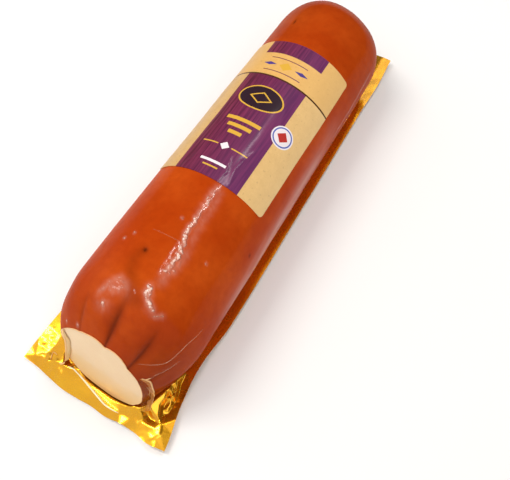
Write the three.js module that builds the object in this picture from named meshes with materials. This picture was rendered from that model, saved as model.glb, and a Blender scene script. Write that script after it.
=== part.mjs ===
// A smoked cheese log in its vacuum pack: a tapering log with a domed back end and a slanting cut front end,
// lying on a thin gold backing film, with a paper label wrapped over its top.
// Millimetres, +Z up. The origin is under the middle of the pack, on the surface that it lies on.
// The cut end faces -Y, and the domed end +Y.
import * as THREE from "three";
import { mergeVertices } from "three/addons/utils/BufferGeometryUtils.js";

// Driving dimensions
const PACK_LENGTH = 375.5; // backing film, front edge to back edge
const PACK_WIDTH = 121; // backing film at its front corners
const FILM_THICK = 0.8; // the pack's two films and their seal, drawn thick enough to be a solid
const LOG_DIAMETER = 91; // log at the middle of the pack
const LOG_TAPER = 0.04; // diameter lost per millimetre towards the domed end
const LOG_LENGTH = 346; // lowest edge of the cut to the tip of the dome
const LOG_SIDE = 5.5; // the log lies this far to the +X side of the pack's middle
const CUT_WIDTH = 66;
const CUT_HEIGHT = 65;
const CUT_SLANT = THREE.MathUtils.degToRad(13.5); // the cut leans back at its top
const CUT_TURN = THREE.MathUtils.degToRad(3); // and is turned back at its -X side
const FLANGE_LEVEL = 4.5; // height at which the film leaves the log and runs out flat
const LABEL_LENGTH = 131;
const LABEL_ARC = THREE.MathUtils.degToRad(121); // angle that the label wraps
const LABEL_TURN = THREE.MathUtils.degToRad(-4); // label's middle, from the log's top towards +X

// Fits between neighbouring pieces
const GAP = 0.35;
const SAG = 1.5; // depth of the flat that the log's weight presses into its underside
const LABEL_THICK = 0.4;

// Places along the log, worked out from the sizes above
const FRONT_EDGE = -PACK_LENGTH / 2;
const CUT_FOOT = FRONT_EDGE + 13; // lowest edge of the cut end
const DOME_TIP = CUT_FOOT + LOG_LENGTH;
const DOME_LENGTH = 44;
const CUT_MIDDLE = CUT_FOOT + (Math.tan(CUT_SLANT) * CUT_HEIGHT) / 2;
const SHOULDER_LENGTH = 46; // the log draws in over this length before the cut
const TIP_RADIUS = 4; // small flat scar at the dome's tip
const CUT_LIFT = 3.2; // lowest edge of the cut above the film
const CUT_SIDE = -4; // the cut's middle lies this far to one side of the log's axis
const CUT_SQUARE = 2.3; // the cut is a little squarer than an ellipse, whose power is 2
const LABEL_FOOT = FRONT_EDGE + 150.75;
const REST = FILM_THICK + GAP; // underside of the log

// Pleats that gather the rind at the front end: angle from the top, depth and half width in degrees
const PLEATS = [
  { angle: -27, depth: 1.5, half: 10 },
  { angle: 7, depth: 3.0, half: 11 },
  { angle: 42, depth: 2.4, half: 10 },
  { angle: 80, depth: 1.8, half: 12 },
  { angle: 118, depth: 1.4, half: 12 },
  { angle: -72, depth: 1.8, half: 12 },
  { angle: -116, depth: 1.4, half: 12 },
];
const PLEAT_LENGTH = 48;

const smooth = THREE.MathUtils.smoothstep;
const lerp = THREE.MathUtils.lerp;

// A smooth curve through values that are evenly spaced from 0 to 1.
function through(values) {
  const curve = new THREE.SplineCurve(values.map((value, i) => new THREE.Vector2(i, value)));
  return (share) => curve.getPoint(share).y;
}

// Moves every vertex of a unit primitive to the place that a function gives, and closes its seams.
function shaped(primitive, place) {
  primitive.deleteAttribute("normal");
  primitive.deleteAttribute("uv");
  const spots = primitive.getAttribute("position");
  const point = new THREE.Vector3();
  for (let i = 0; i < spots.count; i++) {
    place(point.fromBufferAttribute(spots, i));
    spots.setXYZ(i, point.x, point.y, point.z);
  }
  const closed = mergeVertices(primitive, 1e-4);
  closed.computeVertexNormals();
  return closed;
}

function piece(name, geometry, color, roughness, metalness = 0) {
  const mesh = new THREE.Mesh(geometry, new THREE.MeshStandardMaterial({ color, roughness, metalness }));
  mesh.name = name;
  return mesh;
}

// The log

const bodyRadius = (y) => (LOG_DIAMETER - LOG_TAPER * y) / 2;

// How far a station is into the front shoulder, 0 at its start and 1 at the cut.
const shoulderShare = (y) => THREE.MathUtils.clamp((CUT_MIDDLE + SHOULDER_LENGTH - y) / SHOULDER_LENGTH, 0, 1);

// Half width, half height and middle of the section at a station. The body lies on its flat underside,
// and the front end droops to the film.
function section(y) {
  const body = bodyRadius(y);
  const share = shoulderShare(y);
  const drop = share ** 2;
  const draw = share ** 2.2;
  const dome = THREE.MathUtils.clamp((y - DOME_TIP + DOME_LENGTH) / DOME_LENGTH, 0, 1);
  const round = Math.max(Math.sqrt(1 - dome * dome), TIP_RADIUS / body);
  return {
    half: lerp(body, CUT_WIDTH / 2, draw) * round,
    rise: lerp(body, CUT_HEIGHT / 2, draw) * round,
    x: LOG_SIDE + CUT_SIDE * drop,
    z: lerp(REST + body - SAG, REST + CUT_LIFT + CUT_HEIGHT / 2, draw),
    slant: Math.tan(CUT_SLANT) * drop,
    turn: Math.tan(CUT_TURN) * drop,
    power: lerp(2, CUT_SQUARE, draw),
  };
}

// Depth of the gathered rind's pleats at an angle from the top, deepest at the cut.
function pleatDepth(angle, y) {
  const fade = smooth(CUT_MIDDLE + PLEAT_LENGTH - y, 0, PLEAT_LENGTH);
  let depth = 0;
  for (const pleat of PLEATS) {
    const turn = THREE.MathUtils.euclideanModulo(THREE.MathUtils.radToDeg(angle) - pleat.angle + 180, 360) - 180;
    depth += pleat.depth * Math.exp(-((turn / pleat.half) ** 2) * 4);
  }
  return depth * fade;
}

// Point on the log's surface, or raised above it, at an angle from the top and a station along Y.
function logPoint(angle, y, raise, out) {
  const cut = section(y);
  const grow = raise - pleatDepth(angle, y);
  const swell =
    (Math.abs(Math.cos(angle)) ** cut.power + Math.abs(Math.sin(angle)) ** cut.power) ** (-1 / cut.power);
  const up = (cut.rise + grow) * swell * Math.cos(angle);
  const side = (cut.half + grow) * swell * Math.sin(angle);
  return out.set(cut.x + side, y + cut.slant * up - cut.turn * side, Math.max(cut.z + up, REST));
}

// Height of the log's underside over a point of the plan, or Infinity where the log isn't above it.
function undersideHeight(x, y) {
  let station = y;
  let up = 0;
  for (let pass = 0; pass < 4; pass++) {
    const cut = section(THREE.MathUtils.clamp(station, CUT_MIDDLE, DOME_TIP));
    const across = Math.abs(x - cut.x) / cut.half;
    if (across >= 1) return Infinity;
    up = -cut.rise * (1 - across ** cut.power) ** (1 / cut.power);
    station = y - cut.slant * up + cut.turn * (x - cut.x);
  }
  if (station < CUT_MIDDLE || station > DOME_TIP) return Infinity;
  return Math.max(section(station).z + up, REST);
}

// Stations are close together in the shoulder and the dome, and far apart in the plain body.
const stationAt = through([
  CUT_MIDDLE,
  CUT_MIDDLE + 11,
  CUT_MIDDLE + SHOULDER_LENGTH + 12,
  DOME_TIP - DOME_LENGTH - 20,
  DOME_TIP - 7,
  DOME_TIP - 0.25,
]);
const LOG_SIDES = 60;
const LOG_RINGS = 36;

function cheeseLog() {
  const unit = new THREE.CylinderGeometry(1, 1, 1, LOG_SIDES, LOG_RINGS);
  return shaped(unit, (p) => {
    const onAxis = Math.hypot(p.x, p.z) < 0.5;
    const angle = Math.atan2(p.x, p.z);
    const y = stationAt(p.y + 0.5);
    if (onAxis) {
      const cut = section(y);
      p.set(cut.x, y, cut.z);
    } else {
      logPoint(angle, y, 0, p);
    }
  });
}

// The backing film

// Plan of the film's two long edges, from front to back in even steps, as offsets from the log's axis.
const rightEdge = through([
  PACK_WIDTH / 2 - LOG_SIDE, 47.6, 44.1, 47.1, 47, 46.3, 45.5, 45, 44.5, 43.9, 43.6, 43.4, 40,
]);
const leftEdge = through([
  -PACK_WIDTH / 2 - LOG_SIDE, -65, -63.5, -60, -57.5, -56, -55, -55, -55, -55.5, -56, -57, -58,
]);
const CORNER_TRIM = 5; // the front edge falls back this far at its -X corner

// Where the film bunches up beside the front end, in folds that fan out from it.
const GATHERS = [
  { x: LOG_SIDE - 45, y: CUT_FOOT + 8, height: 7, reach: 14, folds: 5 },
  { x: LOG_SIDE + 40, y: CUT_FOOT + 8, height: 8, reach: 15, folds: 5 },
];

function filmHeight(x, y) {
  const ahead = (y - (CUT_FOOT - 6.5)) / 3.2;
  const across = smooth(x, -48, -30) * (1 - smooth(x, 22, 42));
  let folds = (2.6 + 1.2 * Math.sin(x / 9)) * Math.exp(-ahead * ahead) * across;
  for (const gather of GATHERS) {
    const dx = x - gather.x;
    const dy = y - gather.y;
    const far = Math.hypot(dx, dy) / gather.reach;
    const fan = Math.cos(gather.folds * Math.atan2(dy, dx)) * Math.min(far, 1);
    folds += gather.height * (0.62 + 0.38 * fan) * Math.exp(-far * far);
  }
  folds += 0.8 * (1 + Math.sin(y / 17)) * smooth(Math.abs(x - LOG_SIDE), 34, 50);
  folds += 1.2 * Math.sin(x / 8.5 + 1) * (1 - smooth(y, FRONT_EDGE, FRONT_EDGE + 12));
  folds += 1.2 * Math.sin(x / 12) * smooth(y, -FRONT_EDGE - 16, -FRONT_EDGE);
  return Math.min(FLANGE_LEVEL + folds, roomUnderLog(x, y));
}

// Room for the film under the lowest part of the log near a point of the plan.
function roomUnderLog(x, y) {
  let lowest = Infinity;
  for (const dx of [-4, 0, 4]) {
    for (const dy of [-4, 0, 4]) {
      lowest = Math.min(lowest, undersideHeight(x + dx, y + dy));
    }
  }
  return lowest - REST;
}

const FILM_COLUMNS = 30;
const FILM_ROWS = 40;

// Rows are close together at the crumpled front, far apart under the log and closer again under the dome.
const rowAt = through([0, 14, 28, 42, 56, 80, 180, 290, 330, 356, PACK_LENGTH]);

function backingFilm() {
  const unit = new THREE.BoxGeometry(1, 1, 1, FILM_COLUMNS, FILM_ROWS, 1);
  return shaped(unit, (p) => {
    const along = rowAt(p.y + 0.5);
    const end = along / PACK_LENGTH;
    const x = LOG_SIDE + lerp(leftEdge(end), rightEdge(end), p.x + 0.5);
    const trim = CORNER_TRIM * (1 - smooth(x, -PACK_WIDTH / 2, -10)) * (1 - smooth(along, 0, 30));
    const y = FRONT_EDGE + along + trim;
    p.set(x, y, filmHeight(x, y) + (p.z > 0 ? FILM_THICK : 0));
  });
}

// The label

const LABEL_COLUMNS = 22;
const LABEL_ROWS = 8;

function label() {
  const unit = new THREE.BoxGeometry(1, 1, 1, LABEL_COLUMNS, LABEL_ROWS, 1);
  return shaped(unit, (p) => {
    const angle = LABEL_TURN + p.x * LABEL_ARC;
    const y = LABEL_FOOT + (p.y + 0.5) * LABEL_LENGTH;
    logPoint(angle, y, p.z > 0 ? GAP + LABEL_THICK : GAP, p);
  });
}

const pack = new THREE.Group();
pack.add(
  piece("cheese_log", cheeseLog(), 0xb5440f, 0.35),
  piece("backing_film", backingFilm(), 0xe8b02c, 0.2, 0.8),
  piece("label", label(), 0xe6bd78, 0.5),
);

export default pack;
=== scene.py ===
"""Dresses a smoked cheese log in its vacuum pack.

The log gets its smoked rind, pleats and pale cut, the gold film its folds, the label its print, and the clear
film shows where it stands off the log. A floor, studio light and the camera complete the scene.
"""
import math

import bpy
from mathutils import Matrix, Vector, geometry, noise


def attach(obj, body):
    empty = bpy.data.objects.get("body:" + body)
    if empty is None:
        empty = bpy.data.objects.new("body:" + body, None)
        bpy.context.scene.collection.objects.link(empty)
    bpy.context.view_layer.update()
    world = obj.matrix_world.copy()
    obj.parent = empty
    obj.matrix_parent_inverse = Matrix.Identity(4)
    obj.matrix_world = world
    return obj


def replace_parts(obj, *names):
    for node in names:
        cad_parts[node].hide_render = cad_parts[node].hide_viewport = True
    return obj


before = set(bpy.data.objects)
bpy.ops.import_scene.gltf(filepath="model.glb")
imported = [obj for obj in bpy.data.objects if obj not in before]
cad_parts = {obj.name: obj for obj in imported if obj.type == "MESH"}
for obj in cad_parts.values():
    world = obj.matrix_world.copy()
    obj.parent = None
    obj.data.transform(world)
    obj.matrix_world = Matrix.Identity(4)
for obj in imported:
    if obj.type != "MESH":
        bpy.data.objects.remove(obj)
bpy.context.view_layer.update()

MM = 0.001

# Sizes in millimetres, as the solids have them
PACK_LENGTH = 375.5
LOG_DIAMETER = 91.0
LOG_TAPER = 0.04
LOG_LENGTH = 346.0
LOG_SIDE = 5.5
CUT_WIDTH = 66.0
CUT_HEIGHT = 65.0
CUT_SLANT = math.tan(math.radians(13.5))
CUT_TURN = math.tan(math.radians(3.0))
CUT_LIFT = 3.2
CUT_SIDE = -4.0
CUT_SQUARE = 2.3
SAG = 1.5
REST = 1.15
FLANGE_LEVEL = 4.5
DOME_LENGTH = 42.0
SHOULDER_LENGTH = 46.0
LABEL_LENGTH = 131.0
LABEL_ARC = 121.0
LABEL_TURN = -4.0

# Sizes of the scene alone: the dome is a little shorter than the solid's, and turned
DOME_CUT_BACK = 2.0
DOME_TURN = 0.07
DOME_POWER = 2.3
RIND_EDGE = 0.7
LABEL_RADIUS = 45.0
LABEL_CORNER = 3.0
PAPER_THICKNESS = 0.3
PAPER_LIFT = 0.5
GOLD_THICKNESS = 0.25
FILM_THICKNESS = 0.1
ROLL = 46.0  # mean radius that turns an angle on the log into a distance round it
SOFT_ANGLE = 60  # faces that meet at less than this many degrees are shaded smooth
RIND_ANGLE = 48  # the same for the log, whose cut has a crisp rim

FRONT_EDGE = -PACK_LENGTH / 2
BACK_EDGE = PACK_LENGTH / 2
CUT_FOOT = FRONT_EDGE + 13.0
CUT_MIDDLE = CUT_FOOT + CUT_SLANT * CUT_HEIGHT / 2
DOME_TIP = CUT_FOOT + LOG_LENGTH - DOME_CUT_BACK
LABEL_FOOT = FRONT_EDGE + 150.75
LABEL_WIDTH = math.radians(LABEL_ARC) * LABEL_RADIUS

# Modelling steps


def clamp(value, low=0.0, high=1.0):
    """The value, held between two limits."""
    return min(max(value, low), high)


def lerp(start, end, share):
    """The value a share of the way from a start to an end."""
    return start + (end - start) * share


def smooth(value, low, high):
    """A soft step from 0 at a low value to 1 at a high one."""
    share = clamp((value - low) / (high - low))
    return share * share * (3 - 2 * share)


def bump(away, width, power=2):
    """A soft bump that falls from 1 with the distance from its middle."""
    return math.exp(-((abs(away) / width) ** power))


def between(stops, share):
    """The value at a share, on straight runs between stops of a share and a value."""
    for (low, start), (high, end) in zip(stops, stops[1:]):
        if share <= high:
            return lerp(start, end, (share - low) / (high - low))
    return stops[-1][1]


def through(values, share):
    """A smooth curve through values that are evenly spaced from 0 to 1."""
    spot = clamp(share) * (len(values) - 1)
    i = min(int(spot), len(values) - 2)
    t = spot - i
    before, here, there = values[max(i - 1, 0)], values[i], values[i + 1]
    after = values[min(i + 2, len(values) - 1)]
    leave, arrive = (there - before) / 2, (after - here) / 2
    cubic = 2 * here - 2 * there + leave + arrive
    square = 3 * there - 3 * here - 2 * leave - arrive
    return cubic * t**3 + square * t * t + leave * t + here


def on_line(line, share):
    """A point on the smooth curve through a line of points."""
    return [through(values, share) for values in zip(*line)]


def off_line(point, line):
    """Distance of a point from a line of points, and how far along the line it is, from 0 to 1."""
    best, spot = 1e9, 0.0
    for i in range(len(line) - 1):
        (ax, ay), (bx, by) = line[i], line[i + 1]
        dx, dy = bx - ax, by - ay
        share = clamp(((point[0] - ax) * dx + (point[1] - ay) * dy) / (dx * dx + dy * dy))
        far = math.hypot(point[0] - ax - share * dx, point[1] - ay - share * dy)
        if far < best:
            best, spot = far, (i + share) / (len(line) - 1)
    return best, spot


def grain(x, y, z, size):
    """Soft noise from -1 to 1 with lumps of a size in millimetres."""
    return noise.noise(Vector((x, y, z)) / size)


# Folds that cross in crumpled film: direction in degrees, wave against the patch's size, and shift
CRUMPLE_FOLDS = [(12, 1.0, 0.1), (74, 1.35, 0.6), (131, 0.8, 0.3), (158, 1.9, 0.8)]


def crumple(x, y, size):
    """Flat facets that meet in sharp creases, as crumpled foil has, from 0 to about 1."""
    x += 0.35 * size * grain(x, y, 2.0, 2.2 * size)
    y += 0.35 * size * grain(x, y, 7.0, 2.2 * size)
    total = 0.0
    for turn, wave, shift in CRUMPLE_FOLDS:
        a = math.radians(turn)
        run = ((x * math.cos(a) + y * math.sin(a)) / (wave * size * 2) + shift) % 1.0
        total += abs(2 * run - 1) * wave / 5.05
    return total


def put_down():
    """Leaves edit mode and lets go of everything."""
    if bpy.context.mode != "OBJECT":
        bpy.ops.object.mode_set(mode="OBJECT")
    bpy.ops.object.select_all(action="DESELECT")


def take(piece):
    """Selects one piece alone and makes it the active one."""
    put_down()
    piece.select_set(True)
    bpy.context.view_layer.objects.active = piece


def named(name):
    """Names the piece that was just made."""
    piece = bpy.context.object
    piece.name = piece.data.name = name
    return piece


def pick(piece, mode, test):
    """Selects the edges or faces of a piece that pass a test, and stays in edit mode."""
    take(piece)
    bpy.ops.object.mode_set(mode="EDIT")
    bpy.ops.mesh.select_mode(type=mode)
    bpy.ops.mesh.select_all(action="DESELECT")
    bpy.ops.object.mode_set(mode="OBJECT")
    for item in piece.data.edges if mode == "EDGE" else piece.data.polygons:
        item.select = test(item)
    bpy.ops.object.mode_set(mode="EDIT")


def press(piece, place):
    """Moves every vertex to the place, in millimetres, that a function gives for it."""
    put_down()
    for vertex in piece.data.vertices:
        vertex.co = place(vertex.co) * MM
    piece.data.update()


def thicken(piece, thickness, offset):
    """Gives a sheet its thickness in millimetres, under it at offset -1 and to both sides at 0."""
    take(piece)
    wall = piece.modifiers.new("Solidify", "SOLIDIFY")
    wall.thickness = thickness * MM
    wall.offset = offset
    bpy.ops.object.modifier_apply(modifier=wall.name)


def smooth_off(piece, angle):
    """Shades a piece smooth where its faces meet at less than an angle in degrees."""
    take(piece)
    bpy.ops.object.shade_smooth_by_angle(angle=math.radians(angle))


# Materials


def srgb(code):
    """Linear colour of an sRGB hex value."""
    parts = [int(code[i:i + 2], 16) / 255 for i in (0, 2, 4)]
    return tuple(c / 12.92 if c <= 0.04045 else ((c + 0.055) / 1.055) ** 2.4 for c in parts) + (1.0,)


def add(owner, kind, inputs=None, **settings):
    """Adds a node, sets its fields, and gives its inputs a value or the output of another node."""
    node = owner.node_tree.nodes.new(kind)
    for key, value in settings.items():
        if hasattr(node, key):
            setattr(node, key, value)
        else:
            node.inputs[key.replace("_", " ")].default_value = value
    for socket, source in (inputs or {}).items():
        if isinstance(source, bpy.types.NodeSocket):
            owner.node_tree.links.new(source, node.inputs[socket])
        else:
            node.inputs[socket].default_value = source
    return node


def new_material(name):
    """An empty material."""
    material = bpy.data.materials.new(name)
    material.use_nodes = True
    material.node_tree.nodes.clear()
    return material


def close(material, shader):
    """Links the finished shader to the material's output."""
    add(material, "ShaderNodeOutputMaterial", {"Surface": shader.outputs["BSDF"]})
    return material


def smoked_rind():
    """Smoked rind of processed cheese, dyed and smoked in its casing, under tight clear film.

    Orange brown with soft darker clouds, smoke and painted shade where it is pleated and drawn in, and the
    film's gloss over it, with a pale haze of air under the crinkled film that carries painted highlights and
    glints, and a painted sheen along its right flank.
    """
    m = new_material("smoked_rind_under_clear_film")
    place = add(m, "ShaderNodeTexCoord").outputs["Object"]
    clouds = add(m, "ShaderNodeTexNoise", {"Vector": place}, Scale=1 / (38 * MM), Detail=3.0, Roughness=0.55)
    flecks = add(m, "ShaderNodeTexNoise", {"Vector": place}, Scale=1 / (5 * MM), Detail=4.0, Roughness=0.6)
    pores = add(m, "ShaderNodeTexNoise", {"Vector": place}, Scale=1 / (1.2 * MM), Detail=2.0)
    crazes = add(m, "ShaderNodeTexNoise", {"Vector": place}, Scale=1 / (2.4 * MM), Detail=3.0, Distortion=0.8)
    marks_and_painted_light = add(m, "ShaderNodeAttribute", attribute_name="marks_and_painted_light")
    mark = add(m, "ShaderNodeSeparateColor", {"Color": marks_and_painted_light.outputs["Color"]})
    painted_sheen = add(m, "ShaderNodeAttribute", attribute_name="painted_sheen")
    air_and_painted_glint = mark.outputs["Green"]

    # Air under the film hazes the rind softly, and where there is much of it, in crazed white flecks: partly
    # the pale look of that air, partly painted highlights and glints of the crinkled film
    raised = add(m, "ShaderNodeMath", {0: air_and_painted_glint, 1: 0.28, 2: crazes.outputs["Fac"]}, operation="MULTIPLY_ADD")
    painted_glint_fleck = add(m, "ShaderNodeMapRange", {"Value": raised.outputs[0]},
                From_Min=0.64, From_Max=0.76, To_Max=0.9)
    glint_zone = add(m, "ShaderNodeMapRange", {"Value": air_and_painted_glint}, From_Min=0.28, From_Max=0.5, To_Max=0.75)
    lit = add(m, "ShaderNodeMath", {0: painted_glint_fleck.outputs["Result"], 1: glint_zone.outputs["Result"]},
              operation="MULTIPLY")
    haze_and_painted_glint = add(m, "ShaderNodeMath", {0: air_and_painted_glint, 1: 0.4, 2: lit.outputs[0]}, operation="MULTIPLY_ADD")
    rough = add(m, "ShaderNodeMath", {0: crazes.outputs["Fac"], 1: glint_zone.outputs["Result"]},
                operation="MULTIPLY")

    broad = add(m, "ShaderNodeMapRange", {"Value": clouds.outputs["Fac"]}, From_Min=0.36, From_Max=0.66)
    fine = add(m, "ShaderNodeMapRange", {"Value": flecks.outputs["Fac"]},
               From_Min=0.42, From_Max=0.72, To_Max=0.22)
    colour = srgb("B03C09")
    for share, code in (
        (broad.outputs["Result"], "C24D12"),
        (fine.outputs["Result"], "8F2B06"),
        # Red of the marks: smoke, with painted shade in the pleats' creases, the valley, the front's right
        # side and the dome's edge
        (mark.outputs["Red"], "4A1604"),
        # Green of the marks: pale haze of air under the film, with painted highlights and glints
        (haze_and_painted_glint.outputs[0], "F2D3C4"),
        # Painted sheen along the right flank, a pale reflection where the film leaves it
        (painted_sheen.outputs["Fac"], "E9C4BC"),
        (mark.outputs["Blue"], "2E0F06"),
    ):
        layer = add(m, "ShaderNodeMix", {"Factor": share, "A": colour, "B": srgb(code)}, data_type="RGBA")
        colour = layer.outputs["Result"]

    satin = add(m, "ShaderNodeMapRange", {"Value": flecks.outputs["Fac"]}, To_Min=0.4, To_Max=0.56)
    skin = add(m, "ShaderNodeBump", {"Height": pores.outputs["Fac"]}, Strength=0.25, Distance=0.06 * MM)
    relief = add(m, "ShaderNodeBump", {"Height": rough.outputs[0], "Normal": skin.outputs["Normal"]},
                 Strength=0.9, Distance=1.6 * MM)
    shader = add(m, "ShaderNodeBsdfPrincipled", {
        "Base Color": colour,
        "Roughness": satin.outputs["Result"],
        "Normal": relief.outputs["Normal"],
    }, IOR=1.45, Specular_IOR_Level=0.0, Coat_Weight=0.24, Coat_Roughness=0.08, Coat_IOR=1.35)
    return close(m, shader)


def rind_edge():
    """Edge of the rind where the knife went through it: amber, where the smoke has stained the paste."""
    m = new_material("amber_rind_edge")
    place = add(m, "ShaderNodeTexCoord").outputs["Object"]
    blotches = add(m, "ShaderNodeTexNoise", {"Vector": place}, Scale=1 / (4 * MM), Detail=3.0)
    tone = add(m, "ShaderNodeMix", {
        "Factor": blotches.outputs["Fac"], "A": srgb("E3B076"), "B": srgb("F0C892"),
    }, data_type="RGBA")
    shader = add(m, "ShaderNodeBsdfPrincipled", {"Base Color": tone.outputs["Result"]},
                 Roughness=0.45, IOR=1.45, Coat_Weight=0.4, Coat_Roughness=0.08)
    return close(m, shader)


def cut_paste():
    """Paste of processed cheese, smooth and slightly translucent where it was cut, under the clear film.

    It is painted warmer low down, with the glow of light that the gold film reflects on it, where the clear
    film also lies double.
    """
    m = new_material("pale_cheese_paste")
    place = add(m, "ShaderNodeTexCoord").outputs["Object"]
    clouds = add(m, "ShaderNodeTexNoise", {"Vector": place}, Scale=1 / (16 * MM), Detail=3.0)
    curd = add(m, "ShaderNodeTexNoise", {"Vector": place}, Scale=1 / (1.6 * MM), Detail=3.0)
    height = add(m, "ShaderNodeSeparateXYZ", {"Vector": place})
    fine = add(m, "ShaderNodeMapRange", {"Value": curd.outputs["Fac"]},
               From_Min=0.5, From_Max=0.8, To_Max=0.25)
    # Painted glow of light from the gold film, warmer towards the bottom of the cut
    low = add(m, "ShaderNodeMapRange", {"Value": height.outputs["Z"]},
              From_Min=6 * MM, From_Max=34 * MM, To_Min=0.55, To_Max=0.0)
    colour = srgb("E4C092")
    for share, code in (
        (clouds.outputs["Fac"], "EBCDA2"),
        (fine.outputs["Result"], "DDB27C"),
        (low.outputs["Result"], "E8B566"),
    ):
        layer = add(m, "ShaderNodeMix", {"Factor": share, "A": colour, "B": srgb(code)}, data_type="RGBA")
        colour = layer.outputs["Result"]
    relief = add(m, "ShaderNodeBump", {"Height": curd.outputs["Fac"]}, Strength=0.1, Distance=0.03 * MM)
    shader = add(m, "ShaderNodeBsdfPrincipled", {
        "Base Color": colour,
        "Normal": relief.outputs["Normal"],
        "Subsurface Radius": (1.0, 0.6, 0.3),
    }, Roughness=0.42, IOR=1.45, Subsurface_Weight=0.12, Subsurface_Scale=2 * MM,
                 Coat_Weight=0.3, Coat_Roughness=0.1)
    return close(m, shader)


def gold_foil():
    """Metallised gold packing film, rolled smooth, under clear film: a warm, slightly soft mirror."""
    m = new_material("metallised_gold_film")
    place = add(m, "ShaderNodeTexCoord").outputs["Object"]
    clouds = add(m, "ShaderNodeTexNoise", {"Vector": place}, Scale=1 / (22 * MM), Detail=2.0)
    ripples = add(m, "ShaderNodeTexNoise", {"Vector": place}, Scale=1 / (7 * MM), Detail=3.0)
    tone = add(m, "ShaderNodeMix", {
        "Factor": clouds.outputs["Fac"], "A": srgb("DF9414"), "B": srgb("F5BC26"),
    }, data_type="RGBA")
    soft = add(m, "ShaderNodeMapRange", {"Value": ripples.outputs["Fac"]}, To_Min=0.2, To_Max=0.32)
    relief = add(m, "ShaderNodeBump", {"Height": ripples.outputs["Fac"]}, Strength=0.3, Distance=0.25 * MM)
    shader = add(m, "ShaderNodeBsdfPrincipled", {
        "Base Color": tone.outputs["Result"],
        "Roughness": soft.outputs["Result"],
        "Normal": relief.outputs["Normal"],
    }, Metallic=0.9, Coat_Weight=0.4, Coat_Roughness=0.05)
    return close(m, shader)


def packing_film(name, thin, thick, alpha, specular):
    """Clear polyamide packing film, glossy and wrinkled, with a deeper tint where its layers lie close."""
    m = new_material(name)
    place = add(m, "ShaderNodeTexCoord").outputs["Object"]
    wrinkles = add(m, "ShaderNodeTexNoise", {"Vector": place}, Scale=1 / (2.5 * MM), Detail=3.0)
    tone = add(m, "ShaderNodeMix", {
        "Factor": wrinkles.outputs["Fac"], "A": srgb(thin), "B": srgb(thick),
    }, data_type="RGBA")
    gloss = add(m, "ShaderNodeMapRange", {"Value": wrinkles.outputs["Fac"]}, To_Min=0.12, To_Max=0.28)
    relief = add(m, "ShaderNodeBump", {"Height": wrinkles.outputs["Fac"]}, Strength=0.3, Distance=0.2 * MM)
    shader = add(m, "ShaderNodeBsdfPrincipled", {
        "Base Color": tone.outputs["Result"],
        "Roughness": gloss.outputs["Result"],
        "Normal": relief.outputs["Normal"],
    }, IOR=1.45, Alpha=alpha, Specular_IOR_Level=specular)
    return close(m, shader)


# Fields of the label's print, in millimetres from the middle of its lower edge: middle, half size and colour
LABEL_FIELDS = [
    ("box", (0.0, 47.5), (24.2, 50.0), "purple"),
    ("box", (0.0, 113.8), (70.0, 18.0), "ribbon"),
    ("box", (0.0, 124.9), (24.2, 6.7), "purple"),
    ("box", (0.0, 95.3), (60.0, 0.65), "line"),
    ("box", (0.0, 113.6), (15.0, 0.35), "purple"),
    ("box", (0.0, 100.6), (15.0, 0.35), "purple"),
    ("diamond", (0.0, 107.1), (5.2, 4.0), "gold"),
    ("diamond", (-13.0, 107.1), (5.6, 1.6), "violet"),
    ("diamond", (13.0, 107.1), (5.6, 1.6), "violet"),
    ("disc", (-1.0, 74.0), (17.5, 11.0), "gold"),
    ("disc", (-1.0, 74.0), (16.3, 9.9), "black"),
    ("diamond", (-1.0, 74.0), (9.0, 5.4), "gold"),
    ("diamond", (-1.0, 74.0), (7.2, 4.2), "black"),
    ("box", (-1.0, 51.0), (13.0, 1.5), "gold"),
    ("box", (-1.0, 45.0), (9.0, 1.5), "gold"),
    ("box", (-1.0, 39.0), (5.0, 1.5), "gold"),
    ("diamond", (-1.0, 26.5), (3.4, 3.4), "white"),
    ("box", (-12.0, 26.5), (6.0, 0.5), "gold"),
    ("box", (10.0, 26.5), (6.0, 0.5), "gold"),
    ("box", (-1.0, 12.0), (9.5, 1.0), "white"),
    ("box", (-1.0, 8.0), (5.5, 0.6), "gold"),
    ("disc", (27.5, 56.0), (8.6, 8.6), "white"),
    ("disc", (27.5, 56.0), (7.6, 7.6), "blue"),
    ("disc", (27.5, 56.0), (6.6, 6.6), "white"),
    ("diamond", (27.5, 56.0), (4.6, 4.6), "red"),
]

# Inks of the fields that are printed in one colour
PLAIN_INKS = {
    "line": "4A2410", "gold": "D9A83C", "violet": "4A3A86", "black": "2B1522", "white": "EDE3E6",
    "blue": "4F62B0", "red": "B8342E",
}


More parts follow.
